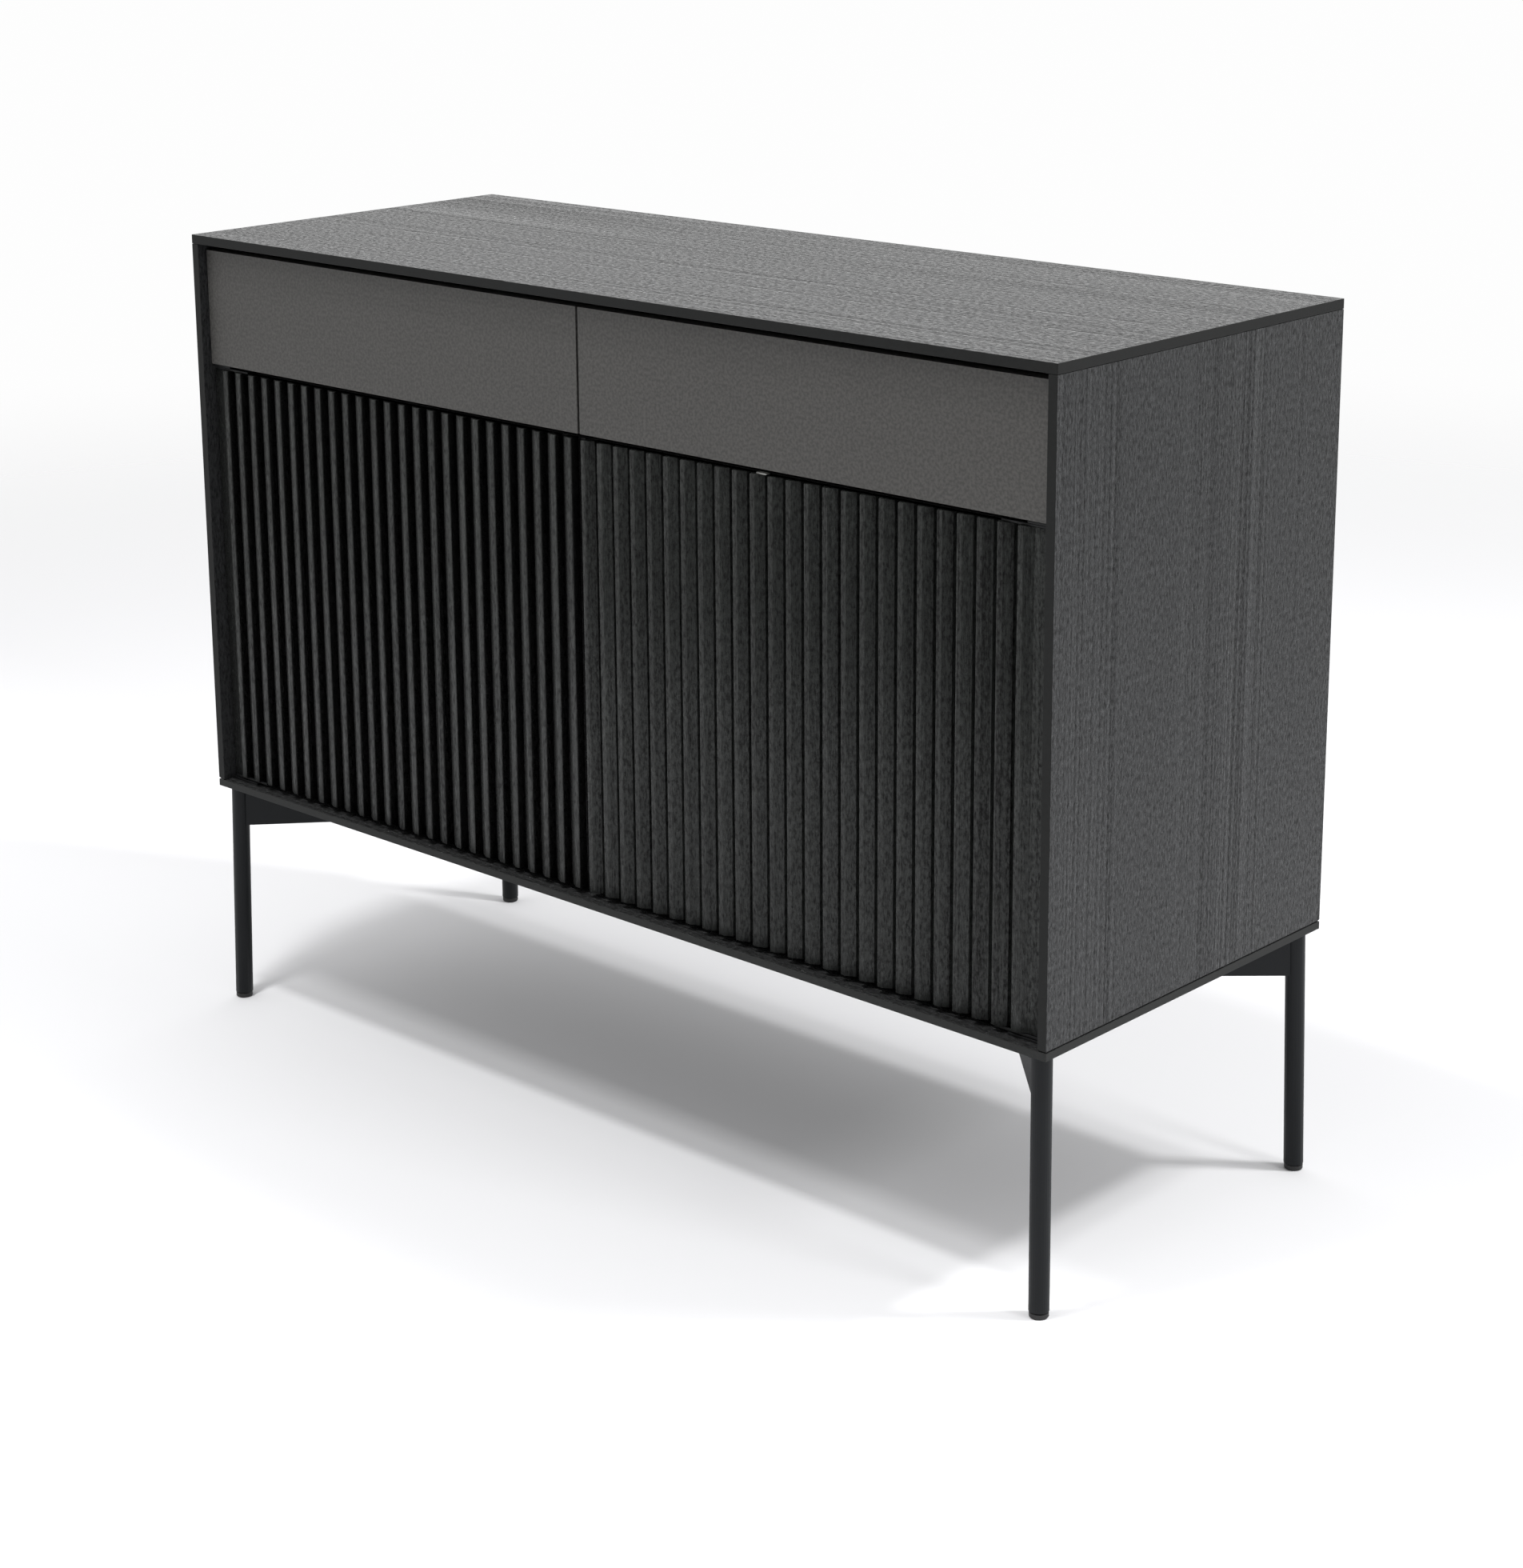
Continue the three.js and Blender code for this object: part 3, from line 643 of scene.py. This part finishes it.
LEG_TOP = (583 * MM, 208 * MM)  # X and Y of the leg's axis under the plate
LEG_SCREWS_ALONG = (42 * MM, 122 * MM)  # from the leg towards the middle of the case
LEG_SCREWS_ASIDE = (-16 * MM, 16 * MM)
LEG_PLATE = 2.7 * MM

TAB = {"middle": 243 * MM, "half": 6.5 * MM, "front": 3.2 * MM, "back": 9 * MM, "corner": 1.2 * MM}
TAB_LEVELS = ((0.1 * MM, 0.0), (1.1 * MM, 0.0), (1.5 * MM, 0.4 * MM))  # above the door core, and inset


def ring(radii, height):
    """Points around +Z at one height, with one radius for each."""
    points = []
    for k, radius in enumerate(radii):
        angle = math.tau * (k + 0.5) / ROUND
        points.append((radius * math.cos(angle), radius * math.sin(angle), height))
    return points


def turning(profile):
    """A turned shape from (radius, height) pairs, bottom to top."""
    return stacked([ring([radius] * ROUND, height) for radius, height in profile])


def screw_head(radius, height):
    """A domed head with a cross recess, standing on z 0."""
    side = [ring([radius * share] * ROUND, height * level) for share, level in HEAD_SIDE]
    cross = [radius * (CROSS_ARM if k % 6 in (0, 5) else CROSS_CORNER) for k in range(ROUND)]
    floor = ring([0.8 * size for size in cross], CROSS_FLOOR * height)
    return stacked(side + [ring(cross, height), floor])


def placed(shape, origin, axis=(0, 0, 1)):
    """A shape turned so that its +Z lies along an axis, and moved to a point."""
    vertices, faces = shape
    turn = Vector((0, 0, 1)).rotation_difference(Vector(axis))
    return [tuple(turn @ Vector(vertex) + Vector(origin)) for vertex in vertices], faces


def fitting(name, body, look, shapes):
    """Makes one piece of several small shapes."""
    vertices, faces = [], []
    for shape_vertices, shape_faces in shapes:
        start = len(vertices)
        vertices.extend(shape_vertices)
        faces.extend(tuple(start + index for index in face) for face in shape_faces)
    make_piece(name, body, SLOT[look], MATERIALS[look], vertices, faces)


def shelf_pins():
    """Four pins under each shelf, each in one of a row of sleeves in the walls."""
    pin = turning(PIN_PROFILE)
    sleeve = turning(SLEEVE_PROFILE)
    for side, sign in SIDES:
        low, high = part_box(f"{side}_shelf")
        inner_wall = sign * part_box("cupboard_partition")[1].x
        outer_wall = sign * min(abs(corner.x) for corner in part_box(f"{side}_side_panel"))
        pins, sleeves = [], []
        for wall, towards in ((inner_wall, sign), (outer_wall, -sign)):
            for depth in (low.y + PIN_FROM_FRONT, high.y - PIN_FROM_BACK):
                pins.append(placed(pin, (wall, depth, low.z - PIN_DROP), (towards, 0, 0)))
                for step in range(-SLEEVES_BELOW, SLEEVES_ABOVE + 1):
                    if step:
                        level = low.z - PIN_DROP + step * SLEEVE_PITCH
                        sleeves.append(placed(sleeve, (wall, depth, level), (towards, 0, 0)))
        fitting(f"{side}_shelf_pins", "case", "zinc", pins)
        fitting(f"{side}_pin_sleeves", "case", "black_steel", sleeves)


def door_bumpers():
    """Soft dots on the back of each door, at its free edge, that meet the partition."""
    dot = turning(BUMPER_PROFILE)
    for side, sign in SIDES:
        low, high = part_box(f"{side}_door_core")
        levels = (low.z + BUMPER_FROM_END, high.z - BUMPER_FROM_END)
        dots = [placed(dot, (sign * BUMPER_ACROSS, high.y, level), (0, 1, 0)) for level in levels]
        fitting(f"{side}_door_bumpers", f"{side}_door", "latch", dots)


def hinge_screws():
    """Flush screws in the hinge leaves."""
    flush = screw_head(*SCREW["leaf"])
    for side, sign in SIDES:
        for level, leaf_sign in (("upper", 1), ("lower", -1)):
            low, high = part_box(f"{side}_{level}_door_hinge_leaf")
            free_end = min(abs(low.x), abs(high.x))
            depth = (low.y + high.y) / 2
            face = high.z if leaf_sign > 0 else low.z
            spots = [(sign * (free_end + reach), depth, face) for reach in LEAF_SCREWS]
            heads = [placed(flush, spot, (0, 0, leaf_sign)) for spot in spots]
            fitting(f"{side}_{level}_leaf_screws", f"{side}_door", "black_steel", heads)


def latch_screws():
    """Two screws through each latch's side."""
    head = screw_head(*SCREW["latch"])
    for side, sign in SIDES:
        low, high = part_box(f"{side}_push_latch")
        face = high.x if sign > 0 else low.x
        level = low.z + LATCH_SCREW_RISE
        depths = (low.y + LATCH_SCREW_INSET, high.y - LATCH_SCREW_INSET)
        heads = [placed(head, (face, depth, level), (sign, 0, 0)) for depth in depths]
        fitting(f"{side}_latch_screws", "case", "zinc", heads)


def angle_plate(x, y, base, towards):
    """An angle plate in the corner at (x, y), with two screws in each leg."""
    leg, sheet, height, ease = (ANGLE_PLATE[key] for key in ("leg", "sheet", "height", "ease"))
    corners = [
        (x, y),
        (x + towards * leg, y),
        (x + towards * leg, y + sheet),
        (x + towards * sheet, y + sheet),
        (x + towards * sheet, y + leg),
        (x, y + leg),
    ]
    outline = counter_clockwise(rounded(corners, ANGLE_ROUND))
    levels = [(base, ease), (base + ease, 0.0), (base + height - ease, 0.0), (base + height, ease)]
    shapes = [prism(outline, levels)]
    head = screw_head(*SCREW["angle"])
    along, from_end = ANGLE_SCREW["along"], ANGLE_SCREW["from_end"]
    for level in (base + from_end, base + height - from_end):
        shapes.append(placed(head, (x + towards * along, y + sheet, level), (0, 1, 0)))
        shapes.append(placed(head, (x + towards * sheet, y + along, level), (towards, 0, 0)))
    return shapes


def drawer_brackets():
    """Angle plates that hold each drawer front to its box."""
    for side, _ in SIDES:
        bottom_low, bottom_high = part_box(f"{side}_drawer_bottom")
        middle = (bottom_low.x + bottom_high.x) / 2
        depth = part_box(f"{side}_drawer_front")[1].y + ANGLE_GAP
        base = bottom_high.z + ANGLE_PLATE["rise"]
        shapes = []
        for wall in ("inner", "outer"):
            low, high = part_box(f"{side}_drawer_{wall}_side")
            towards = 1 if middle > high.x else -1
            face = high.x if towards > 0 else low.x
            shapes += angle_plate(face + towards * ANGLE_GAP, depth, base, towards)
        fitting(f"{side}_drawer_brackets", f"{side}_drawer", "black_steel", shapes)


def evenly(start, end, count):
    """Evenly spaced values, with both ends."""
    return [start + (end - start) * k / (count - 1) for k in range(count)]


def back_screws():
    """Small screws around the edge of the back board and down its middle."""
    low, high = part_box("back_panel")
    head = screw_head(*SCREW["back"])
    margin = BACK_SCREW_MARGIN
    columns = evenly(low.x + margin, high.x - margin, BACK_SCREW_COLUMNS)
    rows = evenly(low.z + margin, high.z - margin, BACK_SCREW_ROWS)
    spots = [(x, z) for x in columns for z in (rows[0], rows[-1])]
    middle = columns[BACK_SCREW_COLUMNS // 2]
    spots += [(x, z) for x in (columns[0], middle, columns[-1]) for z in rows[1:-1]]
    heads = [placed(head, (x, high.y, z), (0, 1, 0)) for x, z in spots]
    fitting("back_panel_screws", "case", "black_steel", heads)


def leg_plate_screws():
    """Four screws up through the fixing plate of each leg."""
    head = screw_head(*SCREW["leg_plate"])
    heads = []
    for label, x_sign, y_sign in CORNERS:
        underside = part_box(f"{label}_leg_bracket")[1].z - LEG_PLATE
        leg_top = Vector((x_sign * LEG_TOP[0], y_sign * LEG_TOP[1], underside))
        inward = Vector((-x_sign, -y_sign, 0)).normalized()
        sideways = Vector((inward.y, -inward.x, 0))
        for along in LEG_SCREWS_ALONG:
            for aside in LEG_SCREWS_ASIDE:
                heads.append(placed(head, leg_top + inward * along + sideways * aside, (0, 0, -1)))
    fitting("leg_plate_screws", "case", "zinc", heads)


def gap_tab():
    """A small pale block on the top edge of the right door, seen in the gap under the drawer."""
    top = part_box("right_door_core")[1].z
    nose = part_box("right_door_slats")[0].y
    left, right = TAB["middle"] - TAB["half"], TAB["middle"] + TAB["half"]
    front, back = nose + TAB["front"], nose + TAB["back"]
    outline = rounded([(left, front), (right, front), (right, back), (left, back)], [TAB["corner"]] * 4)
    levels = [(top + rise, amount) for rise, amount in TAB_LEVELS]
    fitting("gap_tab", "right_door", "latch", [prism(outline, levels)])


# ---------------------------------------------------------------- studio
FLOOR_RINGS = (2.0, 5.0, 9.0)
FLOOR_TURNS = 64
FLOOR_FADE = (1.6, 4.5)  # the paper fades out between these distances from the middle
PAPER_PAINTED_SHADE_FROM_TO = (-0.2, 0.5)  # Y where the paper's painted shade starts and stops darkening it
PAPER_PAINTED_SHADE = 0.84
LIGHT_TARGET = Vector((0.0, 0.0, 0.26))
LIGHT_DISTANCE = 4.2
# Name, direction from LIGHT_TARGET, side of the square, watts
STUDIO_LIGHTS = (
    ("front_high_light", (-0.06, -0.26, 1.0), 0.3, 54.0),
    ("front_light", (-0.06, -0.46, 1.0), 0.6, 33.0),
    ("back_right_light", (0.644, 0.394, 1.0), 0.35, 64.0),
    ("back_high_light", (0.5, 0.24, 1.0), 0.4, 30.0),
    ("right_low_light", (1.65, 0.1, 1.0), 0.7, 31.0),
)
ROOM_LIGHT = 0.95
DIM_LIGHT = 0.2
DIM_SIDE = (0.68, -0.73, 0.0)
DIM_SPREAD = (0.05, 0.85)  # cosine of the angle to DIM_SIDE where dimming starts and is complete
BACKDROP = 0.985


def studio():
    floor_disc()
    for name, direction, size, power in STUDIO_LIGHTS:
        soft_light(name, direction, size, power)
    world_light()


def floor_disc():
    """The floor as a disc of rings."""
    vertices = [(0.0, 0.0, 0.0)]
    faces = []
    for index, radius in enumerate(FLOOR_RINGS):
        start = 1 + index * FLOOR_TURNS
        inner = start - FLOOR_TURNS
        for turn in range(FLOOR_TURNS):
            angle = math.tau * turn / FLOOR_TURNS
            following = (turn + 1) % FLOOR_TURNS
            vertices.append((radius * math.cos(angle), radius * math.sin(angle), 0.0))
            if index == 0:
                faces.append((0, start + turn, start + following))
            else:
                faces.append((inner + turn, start + turn, start + following, inner + following))
    mesh = bpy.data.meshes.new("floor")
    mesh.from_pydata(vertices, [], faces)
    mesh.materials.append(floor_paper())
    floor = bpy.data.objects.new("floor", mesh)
    bpy.context.collection.objects.link(floor)


def floor_paper():
    """White paper with painted shade, a little darker behind the case, that fades out far from it."""
    shader = Shader("floor_paper", Roughness=0.9, Specular_IOR_Level=0.1)
    cloud = shader.noise(shader.stretched((1.3, 1.3, 1.0)), detail=2.0)
    # painted shade on the paper behind the case
    behind = shader.spread(shader.axis("Y"), *PAPER_PAINTED_SHADE_FROM_TO, 1.0, PAPER_PAINTED_SHADE, smooth=True)
    shader.colour(shader.tint(PAPER_COLOUR, shader.math("MULTIPLY", shader.vary(cloud, 0.99, 1.0), behind)))
    distance = shader.add("ShaderNodeVectorMath", {"operation": "LENGTH"})
    shader.feed(distance.inputs[0], shader.place)
    alpha = shader.spread(distance.outputs["Value"], *FLOOR_FADE, 1.0, 0.0, smooth=True)
    shader.feed(shader.surface.inputs["Alpha"], alpha)
    return shader.material


def soft_light(name, direction, size, power):
    """A square lamp far out in one direction from the case, aimed at it."""
    light = bpy.data.lights.new(name, "AREA")
    light.size = size
    light.energy = power
    lamp = bpy.data.objects.new(name, light)
    lamp.location = LIGHT_TARGET + Vector(direction).normalized() * LIGHT_DISTANCE
    lamp.rotation_mode = "QUATERNION"
    lamp.rotation_quaternion = (LIGHT_TARGET - lamp.location).to_track_quat("-Z", "Y")
    bpy.context.collection.objects.link(lamp)


def world_light():
    """A white room that is dimmer towards the front right, with a near-white backdrop for the camera."""
    world = bpy.data.worlds.new("studio")
    bpy.context.scene.world = world
    world.use_nodes = True
    tree = world.node_tree
    direction = tree.nodes.new("ShaderNodeTexCoord").outputs["Generated"]
    towards = tree.nodes.new("ShaderNodeVectorMath")
    towards.operation = "DOT_PRODUCT"
    towards.inputs[1].default_value = DIM_SIDE
    tree.links.new(direction, towards.inputs[0])
    room = tree.nodes.new("ShaderNodeMapRange")
    room.interpolation_type = "SMOOTHSTEP"
    set_range(room, *DIM_SPREAD, ROOM_LIGHT, DIM_LIGHT)
    tree.links.new(towards.outputs["Value"], room.inputs["Value"])
    level = tree.nodes.new("ShaderNodeMix")
    level.inputs["B"].default_value = BACKDROP
    tree.links.new(tree.nodes.new("ShaderNodeLightPath").outputs["Is Camera Ray"], level.inputs["Factor"])
    tree.links.new(room.outputs["Result"], level.inputs["A"])
    background = tree.nodes["Background"]
    background.inputs["Color"].default_value = (1.0, 1.0, 1.0, 1.0)
    tree.links.new(level.outputs["Result"], background.inputs["Strength"])


# ---------------------------------------------------------------- camera
CAMERA_PLACE = Vector((2.1739, -2.3057, 1.3825))
CAMERA_AZIMUTH = math.radians(42.681)
CAMERA_ELEVATION = math.radians(14.063)
CAMERA_ROLL = math.radians(-0.356)
FOCAL_LENGTH = 71.06
SENSOR_WIDTH = 36.0
VIEW_LIMIT = 100.0
VERTICAL_SHIFT = -0.145


def camera():
    """The main camera. Its lens is shifted, so that the case's upright edges stay nearly parallel."""
    back = Vector((
        math.sin(CAMERA_AZIMUTH) * math.cos(CAMERA_ELEVATION),
        -math.cos(CAMERA_AZIMUTH) * math.cos(CAMERA_ELEVATION),
        math.sin(CAMERA_ELEVATION)))
    level_right = (-back).cross(Vector((0, 0, 1))).normalized()
    level_up = level_right.cross(-back)
    right = level_right * math.cos(CAMERA_ROLL) + level_up * math.sin(CAMERA_ROLL)
    up = level_up * math.cos(CAMERA_ROLL) - level_right * math.sin(CAMERA_ROLL)
    data = bpy.data.cameras.new("camera")
    data.lens = FOCAL_LENGTH
    data.sensor_width = SENSOR_WIDTH
    data.shift_y = VERTICAL_SHIFT
    data.clip_end = VIEW_LIMIT
    turn = Matrix((right, up, back)).transposed().to_4x4()
    holder = bpy.data.objects.new("camera", data)
    holder.matrix_world = Matrix.Translation(CAMERA_PLACE) @ turn
    bpy.context.collection.objects.link(holder)
    bpy.context.scene.camera = holder


camera()
studio()
dress_cad_nodes()
case_boards()
slat_faces()
shelf_pins()
door_bumpers()
hinge_screws()
latch_screws()
drawer_brackets()
back_screws()
leg_plate_screws()
gap_tab()
bpy.context.scene.view_settings.view_transform = "Standard"
